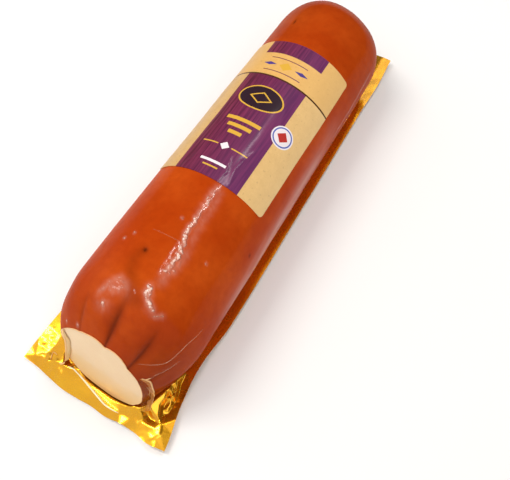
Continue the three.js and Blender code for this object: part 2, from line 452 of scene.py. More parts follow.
def printed_label():
    """Uncoated tan label paper with offset print, under the film's gloss.

    The paper shows fine fibres, a soft mottle and small chips, and is lighter to the right. The purple field
    is printed with a soft grain that runs along the label.
    """
    m = new_material("printed_label_paper")
    uv = add(m, "ShaderNodeTexCoord").outputs["UV"]
    size, start = (LABEL_WIDTH, LABEL_LENGTH, 0.0), (-LABEL_WIDTH / 2, 0.0, 0.0)
    laid_out = add(m, "ShaderNodeVectorMath", {0: uv, 1: size, 2: start}, operation="MULTIPLY_ADD")
    spot = laid_out.outputs["Vector"]
    side = add(m, "ShaderNodeSeparateXYZ", {"Vector": spot}).outputs["X"]
    drawn = add(m, "ShaderNodeVectorMath", {0: spot, 1: (1 / 1.6, 1 / 34.0, 1.0)}, operation="MULTIPLY")
    fibres = add(m, "ShaderNodeTexNoise", {"Vector": spot}, Scale=1 / 1.5, Detail=4.0, Roughness=0.7)
    mottle = add(m, "ShaderNodeTexNoise", {"Vector": spot}, Scale=1 / 7.0, Detail=3.0, Roughness=0.6)
    chips = add(m, "ShaderNodeTexNoise", {"Vector": spot}, Scale=1 / 2.6, Detail=1.0)
    streaks = add(m, "ShaderNodeTexNoise", {"Vector": drawn.outputs["Vector"]}, Scale=1.0, Detail=4.0)

    paper = add(m, "ShaderNodeMix", {
        "Factor": fibres.outputs["Fac"], "A": srgb("CE9D52"), "B": srgb("E9C17E"),
    }, data_type="RGBA").outputs["Result"]
    for source, low, high, most, code in (
        (mottle.outputs["Fac"], 0.4, 0.7, 0.4, "C2924E"),
        (chips.outputs["Fac"], 0.66, 0.74, 0.5, "A06E34"),
        (side, 0.0, 44.0, 0.55, "F1D09A"),
        (side, 0.0, -44.0, 0.4, "B08C62"),
    ):
        share = add(m, "ShaderNodeMapRange", {"Value": source}, From_Min=low, From_Max=high, To_Max=most)
        layer = add(m, "ShaderNodeMix", {
            "Factor": share.outputs["Result"], "A": paper, "B": srgb(code),
        }, data_type="RGBA")
        paper = layer.outputs["Result"]

    band = add(m, "ShaderNodeMapRange", {"Value": streaks.outputs["Fac"]}, From_Min=0.35, From_Max=0.68)
    grained = add(m, "ShaderNodeMix", {
        "Factor": band.outputs["Result"], "A": srgb("4E1028"), "B": srgb("822C4A"),
    }, data_type="RGBA")
    turned = add(m, "ShaderNodeMapRange", {"Value": side}, From_Min=-20.0, From_Max=24.0, To_Max=0.55)
    purple = add(m, "ShaderNodeMix", {
        "Factor": turned.outputs["Result"], "A": grained.outputs["Result"], "B": srgb("6C3570"),
    }, data_type="RGBA")
    ribbon = add(m, "ShaderNodeMix", {"Factor": 0.4, "A": paper, "B": srgb("E6AE58")}, data_type="RGBA")

    inks = {name: srgb(code) for name, code in PLAIN_INKS.items()}
    inks["purple"] = purple.outputs["Result"]
    inks["ribbon"] = ribbon.outputs["Result"]
    colour = paper
    for shape, middle, half, ink in LABEL_FIELDS:
        moved = add(m, "ShaderNodeVectorMath", {0: spot, 1: (*middle, 0.0)}, operation="SUBTRACT")
        scaled = add(m, "ShaderNodeVectorMath", {0: moved.outputs["Vector"], 1: (*half, 1.0)},
                     operation="DIVIDE")
        if shape == "disc":
            far = add(m, "ShaderNodeVectorMath", {0: scaled.outputs["Vector"]}, operation="LENGTH")
            reach = far.outputs["Value"]
        else:
            away = add(m, "ShaderNodeVectorMath", {0: scaled.outputs["Vector"]}, operation="ABSOLUTE")
            apart = add(m, "ShaderNodeSeparateXYZ", {"Vector": away.outputs["Vector"]})
            rule = "MAXIMUM" if shape == "box" else "ADD"
            far = add(m, "ShaderNodeMath", {0: apart.outputs["X"], 1: apart.outputs["Y"]}, operation=rule)
            reach = far.outputs[0]
        inside = add(m, "ShaderNodeMath", {0: reach, 1: 1.0}, operation="LESS_THAN")
        layer = add(m, "ShaderNodeMix", {
            "Factor": inside.outputs[0], "A": colour, "B": inks[ink],
        }, data_type="RGBA")
        colour = layer.outputs["Result"]
    relief = add(m, "ShaderNodeBump", {"Height": fibres.outputs["Fac"]}, Strength=0.15, Distance=0.05 * MM)
    shader = add(m, "ShaderNodeBsdfPrincipled", {"Base Color": colour, "Normal": relief.outputs["Normal"]},
                 Roughness=0.55, IOR=1.45, Specular_IOR_Level=0.2, Coat_Weight=0.25, Coat_Roughness=0.16,
                 Coat_IOR=1.35)
    return close(m, shader)


def pale_floor():
    """Matt white studio sheet with a trace of unevenness."""
    m = new_material("matt_white_studio_sheet")
    place = add(m, "ShaderNodeTexCoord").outputs["Object"]
    clouds = add(m, "ShaderNodeTexNoise", {"Vector": place}, Scale=1 / (300 * MM), Detail=2.0)
    tone = add(m, "ShaderNodeMix", {
        "Factor": clouds.outputs["Fac"], "A": srgb("F6F5F3"), "B": srgb("F9F8F7"),
    }, data_type="RGBA")
    return close(m, add(m, "ShaderNodeBsdfPrincipled", {"Base Color": tone.outputs["Result"]}, Roughness=0.9))


# The log


def section(y):
    """Half width, half height, middle, level, slant, turn and squareness of the log at a station."""
    body = (LOG_DIAMETER - LOG_TAPER * y) / 2
    share = clamp((CUT_MIDDLE + SHOULDER_LENGTH - y) / SHOULDER_LENGTH)
    drop, draw = share**2, share**2.2
    dome = clamp((y - DOME_TIP + DOME_LENGTH) / DOME_LENGTH)
    rounding = max((1 - dome**DOME_POWER) ** (1 / DOME_POWER), 0.02)
    half = lerp(body, CUT_WIDTH / 2, draw) * rounding
    rise = lerp(body, CUT_HEIGHT / 2, draw) * rounding
    middle = LOG_SIDE + CUT_SIDE * drop
    level = lerp(REST + body - SAG, REST + CUT_LIFT + CUT_HEIGHT / 2, draw)
    turn = CUT_TURN * drop + DOME_TURN * dome
    return half, rise, middle, level, CUT_SLANT * drop, turn, lerp(2.0, CUT_SQUARE, draw)


def on_log(angle, y, lift, floor=0.35):
    """A point on the log's surface, raised by a lift, at an angle in degrees from the top."""
    half, rise, middle, level, slant, turn, power = section(y)
    lift = lift * min(1.0, half / 12)
    across, upright = math.sin(math.radians(angle)), math.cos(math.radians(angle))
    swell = (abs(across) ** power + abs(upright) ** power) ** (-1 / power)
    up = (rise + lift) * swell * upright
    side = (half + lift) * swell * across
    return Vector((middle + side, y + slant * up - turn * side, max(level + up, floor)))


def unrolled(angle, y):
    """A point of the log's surface laid out flat, in millimetres."""
    return math.radians(angle) * ROLL, y


# Pleats of the front end: angle at the cut, angle at the far end, length, depth and width in millimetres
PLEATS = [
    (8.0, 4.2, 38.0, 2.6, 2.5),
    (43.5, 38.5, 28.0, 2.2, 2.1),
    (-27.5, -27.5, 26.0, 0.8, 1.3),
    (68.0, 73.0, 20.0, 0.7, 1.4),
    (98.0, 100.0, 24.0, 0.9, 2.2),
    (126.0, 128.0, 26.0, 1.0, 2.2),
    (-96.0, -92.0, 26.0, 0.9, 2.2),
    (-130.0, -128.0, 26.0, 1.0, 2.2),
]

# Where the film is crinkled with air under it: line of angles and stations, width, lift and haze, which also
# paints the film's highlights and glints there
CRINKLES = [
    ([(12.0, -38.5), (10.4, -46.0), (10.8, -54.0), (11.4, -62.0)], 2.4, 0.4, 0.62),
    ([(10.8, -56.0), (12.0, -69.0), (12.2, -80.0), (14.8, -88.0), (17.0, -94.4), (16.0, -102.4),
      (14.8, -109.7)], 1.7, 0.5, 1.0),
    ([(14.5, -39.5), (16.0, -47.0), (16.5, -57.0), (18.0, -73.0), (19.5, -86.0)], 2.6, 0.15, 0.3),
    ([(19.5, -86.0), (20.5, -98.0), (18.0, -108.0), (17.5, -116.0)], 3.0, 0.3, 0.42),
    ([(13.5, -119.0), (15.0, -124.0), (20.0, -129.0), (26.0, -132.5)], 2.3, 0.45, 0.9),
    ([(-17.0, -142.0), (-14.0, -132.0), (-8.5, -124.5), (-1.0, -127.0), (1.5, -131.0)], 2.4, 0.4, 0.5),
    ([(-11.0, -136.0), (-6.5, -130.5), (-1.0, -131.5)], 4.5, 0.3, 0.42),
    ([(-10.5, -146.5), (-7.0, -145.2)], 4.2, 0.4, 0.6),
    ([(27.0, -135.0), (34.0, -130.0)], 1.7, 0.12, 0.5),
    ([(86.0, 60.0), (85.0, 89.0), (82.5, 104.0), (80.5, 116.0), (78.5, 126.0)], 1.3, 0.2, 0.55),
]

# Small marks on the rind: angle, station, radius, and whether they are dark
SPECKS = [
    (-6.0, -101.6, 1.5, True),
    (-29.0, -99.4, 1.0, False),
    (-23.5, -93.9, 0.9, False),
    (2.5, -71.4, 0.9, False),
    (-50.0, -163.4, 1.0, False),
    (-31.0, -164.4, 1.2, False),
    (38.0, -87.1, 0.8, False),
    (18.5, -129.6, 0.8, False),
    (70.0, -60.0, 1.0, True),
    (-30.0, 118.0, 1.0, True),
]

# Line of painted shade in the valley between the swellings of the front: angles and stations
PAINTED_VALLEY_SHADE = [(-7.0, -103.0), (-9.5, -110.0), (-6.0, -116.5), (3.0, -126.0), (11.0, -133.0)]

# Where the film leaves the right flank for the gold film, a band of painted sheen: angles and stations
FLANK_SHEEN = [
    (94.0, -118.0), (93.0, -90.0), (92.0, -60.0), (90.0, -30.0),
    (88.0, 0.0), (84.0, 30.0), (78.0, 60.0), (73.0, 84.0),
]

FLAT_CRINKLES = [([unrolled(*spot) for spot in line], *rest) for line, *rest in CRINKLES]
FLAT_PAINTED_VALLEY_SHADE = [unrolled(*spot) for spot in PAINTED_VALLEY_SHADE]
FLAT_FLANK_SHEEN = [unrolled(*spot) for spot in FLANK_SHEEN]


def painted_flank_sheen(angle, y):
    """How much painted sheen, a pale reflection where the loose film leaves the right flank, lies on the
    rind, from 0 to about 0.5.
    """
    x, y = unrolled(angle, y)
    far, along = off_line((x, y), FLAT_FLANK_SHEEN)
    ends = smooth(along, 0.0, 0.25) * (1 - smooth(along, 0.55, 1.0))
    streaks = 1 + 0.5 * grain(x, y / 6, 9.0, 4.0) + 0.4 * grain(x, y, 4.0, 26.0)
    return 0.4 * bump(far, 9.0) * ends * streaks


def slow_relief(angle, y):
    """The log's gentle unevenness, which the label follows too."""
    a = math.radians(angle)
    return 0.45 * grain(math.sin(a) * ROLL, y, math.cos(a) * ROLL, 42.0)


def pleated(angle, y):
    """Height, and the painted shade along their creases, that the pleats of the front end give the rind."""
    back = y - CUT_MIDDLE
    if back >= 60:
        return 0.0, 0.0
    half = section(y)[0]
    # Soft waves all round the drawn-in end, then each pleat with its swollen sides and its dark line of
    # painted shade
    fade = (1 - smooth(back, 8, 58)) * (0.3 + 0.7 * smooth(back, 0, 14))
    height = 0.6 * fade * math.cos(math.radians(angle - 25.0) * 10)
    shade = 0.0
    for start, end, length, depth, width in PLEATS:
        middle = lerp(start, end, clamp(back / length))
        turn = (angle - middle + 180) % 360 - 180
        across = abs(math.radians(turn)) * half
        if across > 14 or back > length * 1.25:
            continue
        held = 0.8 if depth > 2.4 else 0.45
        run = (1 - smooth(back, length * 0.3, length * 1.2)) * lerp(held, 1.0, smooth(back, 0, 9))
        height -= depth * run * bump(across, width, 1.25)
        height += 0.35 * depth * run * bump(across - 3.2 * width, 2 * width)
        line = bump(across, width * (0.5 + 0.5 * smooth(back, 0, 14)), 1.25)
        line *= 1 - smooth(back, length * 0.35, length * 1.2)
        shade = max(shade, line * min(0.8, 0.2 + depth / 4.5))
    return height, shade


def smoke_and_painted_shade(angle, y):
    """How much darker the rind is: smoke at its drawn-in front, painted shade towards its right side there,
    in its valley and at the dome's edge, and darker towards the back, most on its left.
    """
    back = y - CUT_MIDDLE
    share = (0.2 + 0.24 * smooth(angle, 10, 60)) * (1 - smooth(back, 6, 56))
    share += (0.13 + 0.18 * smooth(-angle, 0, 40)) * smooth(y, 50, 130) + 0.2 * smooth(y, 140, 166)
    if -146 < y < -90:
        share += 0.26 * bump(off_line(unrolled(angle, y), FLAT_PAINTED_VALLEY_SHADE)[0], 4.5)
    return share


def crinkled(angle, y):
    """Height, and the haze with painted glints, that the crinkled film gives the rind."""
    x, y = unrolled(angle, y)
    jagged = (x + 1.7 * grain(0.0, y, 1.0, 4.0), y)
    crease = abs(grain(x, y, 3.0, 3.2))
    height = haze_and_painted_glint = 0.0
    for line, width, lift, air_and_painted_glint in FLAT_CRINKLES:
        far, along = off_line(jagged, line)
        if far > width * 3:
            continue
        ends = smooth(along, 0.0, 0.12) * (1 - smooth(along, 0.88, 1.0)) * 0.6 + 0.4
        near = bump(far, width) * ends
        height += lift * near * (1.7 * crease - 0.2)
        haze_and_painted_glint = max(haze_and_painted_glint, air_and_painted_glint * near * (0.55 + 0.9 * crease))
    return height, haze_and_painted_glint


def specked(angle, y):
    """Height, haze and darkness that the small marks give the rind."""
    height = haze_and_painted_glint = dark = 0.0
    for mark_angle, mark_y, radius, is_dark in SPECKS:
        far = math.dist(unrolled(mark_angle, mark_y), unrolled(angle, y))
        if far >= radius * 2.5:
            continue
        near = bump(far, radius)
        height += (-0.3 if is_dark else 0.35) * near
        if is_dark:
            dark = max(dark, 0.9 * near)
        else:
            haze_and_painted_glint = max(haze_and_painted_glint, 0.75 * near)
    return height, haze_and_painted_glint, dark


def end_relief(angle, y):
    """Height of the swelling and hollows round the cut, and of the gathered and flattened dome."""
    back = y - CUT_MIDDLE
    tail = y - (DOME_TIP - 16)
    height = 2.0 * bump(angle + 68, 13) * (1 - smooth(back, 6, 32))
    height -= 3.6 * bump(angle + 96, 17) * (1 - smooth(back, 0, 14))
    height -= 2.2 * bump(angle - 50, 17) * (1 - smooth(back, 0, 10))
    height -= 0.5 * smooth(tail, 0, 16) * (1 + math.cos(math.radians(angle) * 9))
    height -= 2.5 * bump(angle - 20, 50) * smooth(tail, -14, 8)
    return height


def rind_relief(angle, y):
    """Height of the rind above the plain log, and its painted shade with smoke, its haze with painted glints,
    and its dark specks there.
    """
    folded, painted_shade_and_smoke = pleated(angle, y)
    lifted, haze_and_painted_glint = crinkled(angle, y)
    raised, pale, dark = specked(angle, y)
    # Smoke and the painted shade of the front's right side, the valley and the dome's edge darken the rind
    # further
    painted_shade_and_smoke += (1 - painted_shade_and_smoke) * smoke_and_painted_shade(angle, y)
    height = slow_relief(angle, y) + folded + lifted + raised + end_relief(angle, y)
    return height, (painted_shade_and_smoke, max(haze_and_painted_glint, pale), dark, 1.0)


# Points of a ring, the two rounds of cuts that make the rings, and how each ring of the paste shrinks
RING_POINTS = 240
RING_CUTS = (12, 13)
PASTE_STEPS = (0.97, 0.93, 0.88, 0.85, 0.8, 0.75, 0.68, 0.5)

# Rings of the log before its dome: share of the rings and station, close together at the crinkled front
DOME_RINGS = 0.82
LOG_RINGS = [(0.0, CUT_MIDDLE), (0.62, LABEL_FOOT + 8), (DOME_RINGS, DOME_TIP - DOME_LENGTH)]


def station(share):
    """Station of a ring of the log, with the dome's rings closer together towards its tip."""
    if share < DOME_RINGS:
        return between(LOG_RINGS, share)
    return DOME_TIP - DOME_LENGTH * (1 - math.sin((share - DOME_RINGS) / (1 - DOME_RINGS) * math.pi / 2))


def cut_middle():
    """The middle of the cut, in metres."""
    rim = on_log(0.0, CUT_MIDDLE, 0.0)
    _, _, middle, level, _, _, _ = section(CUT_MIDDLE)
    to_middle = Vector((middle, CUT_MIDDLE, level)) - rim
    return (rim + to_middle * min(1.0, CUT_HEIGHT / 2 / to_middle.length)) * MM


def is_end(face):
    """Tells an end of the log, which has many corners, from its other faces."""
    return len(face.vertices) > 4


def face_cut(cheese):
    """Insets the log's front face for the rind's edge and the paste, and lets the paste swell a little."""
    middle = cut_middle()
    pick(cheese, "FACE", is_end)
    cheese.active_material_index = 1
    bpy.ops.object.material_slot_assign()
    bpy.ops.mesh.inset(thickness=RIND_EDGE * MM, depth=0.0, use_even_offset=False)
    cheese.active_material_index = 2
    bpy.ops.object.material_slot_assign()
    put_down()
    # The edge is wider at the left, where the clear film hangs over it
    for face in cheese.data.polygons:
        if is_end(face):
            for index in face.vertices:
                spot = cheese.data.vertices[index].co
                angle = math.degrees(math.atan2(spot.x - middle.x, spot.z - middle.z))
                wider = 4.2 * smooth(angle, -134, -108) * (1 - smooth(angle, -78, -60))
                spot += (middle - spot).normalized() * wider * MM
    pick(cheese, "FACE", is_end)
    for step in PASTE_STEPS:
        bpy.ops.mesh.inset(thickness=0.0, depth=0.0)
        bpy.ops.transform.resize(value=(step, step, step), center_override=middle)
    bpy.ops.mesh.poke()
    put_down()
    paste = {index for face in cheese.data.polygons if face.material_index == 2 for index in face.vertices}
    for index in paste:
        spot = cheese.data.vertices[index].co
        out = (spot - middle).length / (CUT_WIDTH / 2 * MM)
        uneven = 0.25 * grain(spot.x / MM, 0.0, spot.z / MM, 14.0) * smooth(1 - out, 0, 0.2)
        spot.y -= (0.9 * (1 - clamp(out) ** 2) + uneven) * MM


def make_cheese():
    """The log: a cylinder in rings, drawn in at the cut and pleated, with its cut inset for the rind."""
    put_down()
    length = LOG_LENGTH * MM
    bpy.ops.mesh.primitive_cylinder_add(
        vertices=RING_POINTS, radius=LOG_DIAMETER / 2 * MM, depth=length, end_fill_type="NGON",
        rotation=(math.radians(-90), 0, 0))
    cheese = named("smoked_cheese")
    bpy.ops.object.transform_apply(location=True, rotation=True, scale=True)

    def runs_along(edge):
        start, end = (cheese.data.vertices[index].co for index in edge.vertices)
        return abs((start - end).y) > 1e-6

    for cuts in RING_CUTS:
        pick(cheese, "EDGE", runs_along)
        bpy.ops.mesh.subdivide(number_cuts=cuts)
    marks_and_painted_light, painted_sheens = [], []

    def place(co):
        angle = math.degrees(math.atan2(co.x, co.z))
        y = station(clamp(co.y / length + 0.5))
        height, mark = rind_relief(angle, y)
        marks_and_painted_light.extend(mark)
        painted_sheens.append(painted_flank_sheen(angle, y))
        return on_log(angle, y, height)

    press(cheese, place)
    cheese.data.attributes.new("marks_and_painted_light", "FLOAT_COLOR", "POINT").data.foreach_set("color", marks_and_painted_light)
    cheese.data.attributes.new("painted_sheen", "FLOAT", "POINT").data.foreach_set("value", painted_sheens)
    for material in (smoked_rind(), rind_edge(), cut_paste()):
        cheese.data.materials.append(material)
    pick(cheese, "FACE", lambda face: is_end(face) and face.center.y > 0)
    bpy.ops.mesh.poke()
    face_cut(cheese)
    smooth_off(cheese, RIND_ANGLE)
    return cheese


# The gold film

NO_LOG = 1e6  # height that stands for open air over the film


def underside(x, y):
    """Height of the log's underside over a point of the plan."""
    at, up = y, 0.0
    for _ in range(4):
        half, rise, middle, _, slant, turn, power = section(clamp(at, CUT_MIDDLE, DOME_TIP))
        across = abs(x - middle) / half
        if across >= 1:
            return NO_LOG
        up = -rise * (1 - across**power) ** (1 / power)
        at = y - slant * up + turn * (x - middle)
    if at < CUT_MIDDLE or at > DOME_TIP:
        return NO_LOG
    return max(section(at)[3] + up, REST)


# Plan of the film: offsets of its long edges from the log's axis, and trim of its front edge
RIGHT_EDGE = [54.0, 47.2, 43.8, 46.6, 46.4, 45.6, 44.8, 44.3, 43.6, 42.8, 42.4, 42.4, 40.4]
LEFT_EDGE = [-67.2, -65.3, -63.5, -60, -57.5, -56, -55, -55, -55, -55.5, -56, -57, -58]
FRONT_TRIM = [4.2, 3.3, 1.2, -0.6, -0.6, -0.1, -1.0, 0.1, 0.1, -1.6, 0.0]

# Rows of the film's grid: share of the rows and distance from the front edge, close together at both ends
FILM_ROWS = [(0.0, 0.0), (0.516, 70.0), (0.677, PACK_LENGTH - 75), (1.0, PACK_LENGTH)]

# Creased front of the film: lines of its plan with their heights, with flat facets between them
CREASES = [
    [(-69, -199, 1.5)], [(-20, -199, 1.0)], [(20, -199, 1.6)], [(67, -199, 4.0)], [(67, -112, 5.0)],
    [(-69, -112, 4.6)],
    [(-62, -182.6, 2.5), (-57, -183.2, 2.0), (-53.5, -183.8, 1.6), (-47, -185.4, 3.0), (-41, -186.4, 1.6),
     (-36, -188, 3.2), (-34.2, -188, 1.8), (-32.5, -188.2, 3.0), (-26, -188.3, 1.8), (-18, -188.6, 1.8),
     (-9, -188, 1.4), (1, -187.5, 1.6), (11, -188.2, 2.0), (19, -188, 3.0), (22, -187.9, 5.2),
     (26, -187.6, 5.6), (29.5, -187.6, 2.6), (34, -187.8, 3.0), (41, -188.2, 3.6), (44, -188.8, 4.4),
     (52, -188.8, 5.4), (60.5, -188.6, 4.5)],
    [(-62, -174, 3.2), (-61, -166, 4.2), (-60.5, -157, 5.2), (-60, -147, 4.9), (-60, -135, 4.6),
     (-60, -122, 4.6)],
    [(-33.4, -172, 8.2), (-37, -166, 7.6), (-39, -157, 6.6), (-41, -147, 5.6), (-42, -135, 5.0),
     (-42, -122, 4.6)],
    [(-58.4, -157, 5.2), (-47.3, -159, 5.1), (-47.9, -171.2, 4.3), (-57.9, -171.7, 4.3)],
    [(-50, -147, 5.0)], [(-50, -134, 4.7)],
    [(-35.5, -174.8, 8.0), (-47, -176, 4.5), (-55, -178.6, 3.3)],
    [(-35.5, -174.8, 8.0), (-43, -177.5, 6.0), (-46, -182.4, 4.2), (-47, -185.4, 3.0)],
    [(-35.5, -174.8, 8.0), (-36.8, -181, 5.8), (-36, -185.8, 4.2), (-36, -188, 3.2)],
    [(-33.6, -174.8, 8.0), (-32.8, -180.3, 6.2), (-32.5, -184, 4.8), (-32.5, -188.2, 3.0)],
    [(-50, -179.5, 3.2), (-53.5, -183.8, 1.6)], [(-40, -180.5, 4.2), (-41, -186.4, 1.6)],
    [(-34.6, -182, 4.4), (-34.2, -188, 1.8)],
    [(-30, -171.2, 3.6)], [(-27.5, -169.5, 4.5)],
    [(-32.6, -174.4, 7.6), (-24.3, -173.5, 7.6), (-16.9, -175.3, 6.4), (-7.5, -178, 5.4), (0, -180.3, 5.6),
     (7.5, -182.4, 6.0), (13.5, -182.8, 6.4), (18.4, -182.5, 6.6)],
    [(-6.5, -176.9, 5.0), (1, -178.7, 5.1), (8.5, -180.7, 5.5), (14.5, -181.2, 6.0), (18.6, -180.9, 6.3)],
    [(-25, -171.4, 7.6), (-20, -172.9, 7.8), (-15, -174, 6.7), (-10, -175.2, 5.8), (0, -176.4, 5.6),
     (7.5, -176.7, 5.9), (15, -176.7, 6.9), (22.5, -176.1, 8.6), (28.6, -175.6, 9.4)],
    [(-26, -181, 4.6)], [(-16, -182.8, 3.9), (-4, -184, 3.7), (7, -185.4, 3.8)],
    [(19.4, -182.8, 5.3), (22, -187.9, 5.2)], [(25.5, -180.3, 5.9), (26, -187.6, 5.6)], [(29, -181.5, 6.2)],
    [(28.6, -175.6, 9.4), (31.4, -174.6, 9.0), (33.6, -175.2, 8.4), (34.2, -176.9, 7.4), (33, -179.3, 6.0)],
    [(31.4, -176.9, 6.8)],
    [(36.3, -172.5, 3.8), (40.1, -174.2, 3.9), (43, -173.6, 4.4)], [(35.8, -176.6, 4.5)],
    [(34.4, -184.5, 4.0)],
    [(35, -168.2, 9.9), (36.5, -162.8, 10.1), (38.1, -158.1, 10.2), (39.6, -153.9, 10.3)],
    [(36.7, -169.6, 9.2), (40.3, -171.2, 7.9), (43, -171.4, 7.1), (43.2, -169.2, 7.3), (42.5, -167.2, 7.8),
     (41.1, -164, 8.6), (41.5, -159.5, 9.05), (40.5, -153.9, 10.1)],
    [(43.4, -166, 4.6), (42.3, -164, 4.2), (42.5, -160, 4.4)],
    [(46.4, -163.5, 4.8), (45.9, -161.3, 5.2), (46.1, -159.5, 5.6)],
    [(41.5, -154.5, 5.8), (43.2, -155.8, 5.8)], [(44.3, -157, 6.4), (42.7, -157.6, 7.2)],
    [(40.3, -149.4, 10), (42.5, -152.4, 9.2), (44.6, -154.9, 8.0), (46.1, -155.6, 7.0), (45.6, -153.1, 7.6),
     (43.2, -146.8, 9.0), (41.5, -144.3, 9.8)],
    [(42.4, -149.4, 7.4), (44.5, -153.1, 6.4)],
    [(44.6, -145.5, 4.6), (47, -152.5, 3.6), (47.5, -157, 3.4), (47.7, -162, 3.4), (47.6, -166, 3.4)],
    [(43.8, -171.0, 6.9), (45.4, -172.2, 6.6), (47.6, -174.2, 6.6), (49.7, -177, 6.6), (50.8, -180.3, 6.4),
     (49.2, -182.8, 6.2), (47.3, -185.5, 5.8), (44, -188.8, 4.4)],
    [(45.2, -169.6, 4.0), (46.9, -171.4, 5.0), (49.1, -173.6, 5.8), (51.1, -176.6, 5.8),
     (52.1, -180.4, 5.7), (50.5, -183.6, 5.6), (48.3, -186.4, 5.4)],
    [(34, -179.6, 5.2), (40.5, -179.4, 5.6), (46.1, -178.6, 6.2), (49.7, -177, 6.6)], [(40.5, -183, 4.6)],
    [(43.2, -182.7, 5.0)],
    [(42.5, -186.4, 4.2)],
    [(49.6, -131.1, 5.6), (51, -142.2, 6.2), (53.8, -156.8, 6.6), (55.4, -165.6, 5.8), (58.4, -176.2, 4.5),
     (60.5, -188.6, 4.5)],
    [(50.5, -122, 5.6)], [(43.6, -136, 6.0)], [(45, -121, 5)],
    [(-20, -156, 4)], [(0, -156, 2)], [(20, -156, 4)], [(0, -136, 2)], [(-22, -136, 3)], [(24, -136, 3)],
    [(0, -112, 2.0)],
]

# Crumpled patches: middle in the plan, reach and depth
CRUMPLED = [(-52.9, -165.0, 7.5, 0.5), (36.0, -180.0, 8.0, 0.3)]

# Soft folds between the creases: lines of the plan, height and width
SOFT_FOLDS = [
    ([(-55.5, -179.9), (-52.4, -177.6), (-49.5, -174.2)], 0.28, 1.6),
    ([(-52.0, -183.0), (-49.4, -180.4), (-46.6, -177.2)], 0.28, 1.6),
    ([(-46.6, -171.6), (-45.2, -175.9), (-43.9, -179.6), (-42.4, -183.5)], 0.4, 1.5),
    ([(-37.7, -173.0), (-38.4, -175.4), (-38.8, -178.6), (-38.2, -182.6)], 0.4, 1.4),
    ([(-33.4, -177.1), (-32.5, -180.1), (-32.3, -183.5), (-32.6, -186.6)], 0.5, 1.3),
]


def make_facets():
    """Triangles between the crease lines, each with the heights of its corners."""
    spots = [spot for line in CREASES for spot in line]
    edges, first = [], 0
    for line in CREASES:
        edges += [(first + i, first + i + 1) for i in range(len(line) - 1)]
        first += len(line)
    plan = [Vector(spot[:2]) for spot in spots]
    _, _, faces, sources, _, _ = geometry.delaunay_2d_cdt(plan, edges, [], 0, 1e-5)
    return [[spots[sources[corner][0]] for corner in face] for face in faces]


FACETS = make_facets()


def creased(x, y):
    """Height of the film's facets over a point of the plan."""
    for (ax, ay, az), (bx, by, bz), (cx, cy, cz) in FACETS:
        area = (bx - ax) * (cy - ay) - (cx - ax) * (by - ay)
        to_b = ((x - ax) * (cy - ay) - (cx - ax) * (y - ay)) / area
        to_c = ((bx - ax) * (y - ay) - (x - ax) * (by - ay)) / area
        if to_b >= -1e-6 and to_c >= -1e-6 and to_b + to_c <= 1 + 1e-6:
            return az + to_b * (bz - az) + to_c * (cz - az)
    return FLANGE_LEVEL


def front_folds(x, y):
    """Height of the film's creased front, with its crumpled patches and soft folds."""
    height = creased(x, y)
    for middle_x, middle_y, reach, depth in CRUMPLED:
        near = bump(math.hypot(x - middle_x, y - middle_y), reach)
        if near > 0.02:
            height += depth * near * (1.5 * crumple(x, y, 2.4) - 0.7)
    for line, lift, width in SOFT_FOLDS if x < -28 else []:
        far, along = off_line((x, y), line)
        height += lift * bump(far, width) * smooth(along, 0.0, 0.2) * (1 - smooth(along, 0.75, 1.0))
    return height


def lower_rim(x):
    """Station and height of the cut's lower rim over a place across it."""
    half, rise, middle, level, slant, turn, power = section(CUT_MIDDLE)
    across = clamp(abs(x - middle) / half, 0.0, 0.98)
    up = -rise * (1 - across**power) ** (1 / power)
    return CUT_MIDDLE + slant * up - turn * (x - middle), level + up


def film_height(x, y):
    """Height of the gold film over the floor: a wavy margin, a crumpled far corner and a folded front."""
    margin = smooth(abs(x - LOG_SIDE), 34, 50)
    height = FLANGE_LEVEL + 0.8 * (1 + math.sin(y / 17)) * margin + 0.5 * grain(x, y, 0.0, 21.0)
    height += 1.2 * math.sin(x / 12) * smooth(y, BACK_EDGE - 16, BACK_EDGE)
    if y > 100 and x > 28:
        far_corner = smooth(x, 28, 40) * smooth(y, 100, 122)
        height = lerp(height, FLANGE_LEVEL + 1.1 + 0.9 * crumple(x, y, 8.0), far_corner)
    if y < -122:
        height = lerp(front_folds(x, y), height, smooth(y, -138, -122))
        rim_y, rim_z = lower_rim(x)
        drawn_up = min(rim_z - 0.7, 11.5) - (0.75 if y < rim_y else 0.5) * abs(y - rim_y)
        height = lerp(height, max(height, drawn_up), smooth(x, -24, -15) * (1 - smooth(x, 25, 33)))
    room = min(underside(x + dx, y + dy) for dx in (-1, 0, 1) for dy in (-1, 0, 1)) - REST
    return max(min(height, room), 0.0)


def relaxed(heights, row):
    """The heights of a grid with rows of one length, each drawn halfway to its neighbours' mean."""
    result = []
    for i, height in enumerate(heights):
        near = [heights[k] for k in (i - row, i + row) if 0 <= k < len(heights)]
        near += [heights[k] for k in (i - 1, i + 1) if k // row == i // row and k >= 0]
        result.append(0.5 * height + 0.5 * sum(near) / len(near))
    return result


